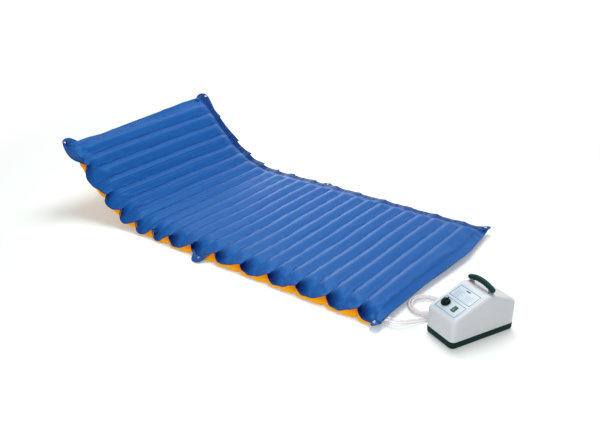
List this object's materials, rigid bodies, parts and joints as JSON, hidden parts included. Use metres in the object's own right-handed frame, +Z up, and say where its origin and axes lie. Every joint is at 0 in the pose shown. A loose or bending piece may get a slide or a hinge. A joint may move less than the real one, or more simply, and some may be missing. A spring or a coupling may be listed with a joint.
{
  "type": "alternating pressure mattress",
  "caption": "Inflatable ripple mattress of transverse air cells, its head end raised, with a scalloped hem and tie eyelets, and two clear hoses to a wedge-shaped air pump with a carry handle.",
  "frame": {"origin": "on the mattress's underside, at the middle of its width and of its unfolded length between the end welds", "axes": "+X towards the foot end, +Y across the bed away from the hose inlets, +Z up"},
  "size_m": [2.0492, 0.956, 0.3593],
  "materials": {
    "blue_nylon": "satin coated nylon",
    "orange_backing": "matt coated nylon",
    "clear_pvc": "clear soft PVC",
    "white_nylon": "moulded nylon",
    "casing": "moulded ABS, fine texture",
    "dark_green": "moulded ABS, satin",
    "rubber": "matt",
    "steel": "plated",
    "panel": "printed polycarbonate film",
    "black_plastic": "moulded",
    "rocker": "moulded polycarbonate",
    "board": "glass epoxy laminate",
    "core": "stacked laminations",
    "winding": "enamelled copper wire",
    "magnet": "sintered ferrite",
    "filter": "felt",
    "acetal": "moulded acetal"
  },
  "bodies": {
    "root": {"air_cells_a": "blue_nylon", "air_cells_b": "blue_nylon", "base_sheet_flat": "orange_backing", "hem_flat": "blue_nylon", "eyelet_tabs_flat": "blue_nylon", "hose_inlets": "white_nylon", "hose_a_run": "clear_pvc", "hose_a_coil": "clear_pvc", "hose_a_tail": "clear_pvc", "hose_b_run": "clear_pvc", "hose_b_coil": "clear_pvc", "hose_b_tail": "clear_pvc", "pump_cover": "casing", "pump_tray": "dark_green", "rubber_feet": "rubber", "cover_screws": "steel", "control_panel": "panel", "pressure_control": "steel", "switch_bezel": "black_plastic", "handle_grip": "dark_green", "handle_posts": "steel", "outlet_nozzles": "white_nylon", "mains_inlet": "black_plastic", "fuse_holder": "black_plastic", "circuit_board": "board", "compressor_frame": "steel", "magnet_core": "core", "magnet_winding": "winding", "armature_pin": "steel", "diaphragm": "rubber", "valve_chamber": "white_nylon", "intake_filter": "filter", "distributor_body": "white_nylon", "distributor_motor": "steel", "supply_tube": "clear_pvc", "outlet_tubes": "clear_pvc"},
    "bend_1": {"air_cell_08": "blue_nylon", "base_sheet_bend_1": "orange_backing", "hem_bend_1": "blue_nylon"},
    "bend_2": {"air_cell_07": "blue_nylon", "base_sheet_bend_2": "orange_backing", "hem_bend_2": "blue_nylon"},
    "bend_3": {"air_cell_06": "blue_nylon", "base_sheet_bend_3": "orange_backing", "hem_bend_3": "blue_nylon"},
    "bend_4": {"air_cell_05": "blue_nylon", "base_sheet_bend_4": "orange_backing", "hem_bend_4": "blue_nylon"},
    "backrest": {"air_cell_01": "blue_nylon", "air_cell_02": "blue_nylon", "air_cell_03": "blue_nylon", "air_cell_04": "blue_nylon", "base_sheet_backrest": "orange_backing", "hem_backrest": "blue_nylon", "eyelet_tabs_head": "blue_nylon"},
    "knob": {"pressure_knob": "dark_green"},
    "rocker": {"switch_rocker": "rocker"},
    "armature": {"armature_lever": "steel", "armature_magnet": "magnet"},
    "rotor": {"distributor_rotor": "acetal"}
  },
  "joints": [
    {"name": "fold_1_raise", "type": "hinge", "parent": "root", "child": "bend_1", "pos_m": [-0.306, 0, 0.047], "axis": [0, 1, 0], "range_deg": [-8.5, 5.5]},
    {"name": "fold_2_raise", "type": "hinge", "parent": "bend_1", "child": "bend_2", "pos_m": [-0.37325, 0, 0.05705], "axis": [0, 1, 0], "range_deg": [-8.5, 5.5]},
    {"name": "fold_3_raise", "type": "hinge", "parent": "bend_2", "child": "bend_3", "pos_m": [-0.43828, 0, 0.07693], "axis": [0, 1, 0], "range_deg": [-8.5, 5.5]},
    {"name": "fold_4_raise", "type": "hinge", "parent": "bend_3", "child": "bend_4", "pos_m": [-0.49966, 0, 0.10621], "axis": [0, 1, 0], "range_deg": [-8.5, 5.5]},
    {"name": "fold_5_raise", "type": "hinge", "parent": "bend_4", "child": "backrest", "pos_m": [-0.55603, 0, 0.14423], "axis": [0, 1, 0], "range_deg": [-8.5, 5.5]},
    {"name": "pressure_turn", "type": "hinge", "parent": "root", "child": "knob", "pos_m": [1.06998, -0.3367, 0.1233], "axis": [-0.1519, -0.3412, 0.9276], "range_deg": [-135, 135]},
    {"name": "switch_rock", "type": "hinge", "parent": "root", "child": "rocker", "pos_m": [1.11171, -0.35853, 0.12264], "axis": [-0.9135, 0.4067, 0], "range_deg": [0, 16]},
    {"name": "armature_swing", "type": "hinge", "parent": "root", "child": "armature", "pos_m": [1.15533, -0.2827, 0.03], "axis": [0, 0, 1], "range_deg": [-2, 2], "stiffness_Nm_per_rad": 2},
    {"name": "distributor_turn", "type": "hinge", "parent": "root", "child": "rotor", "pos_m": [1.07753, -0.31483, 0.046], "axis": [0, 0, 1], "continuous": true}
  ]
}
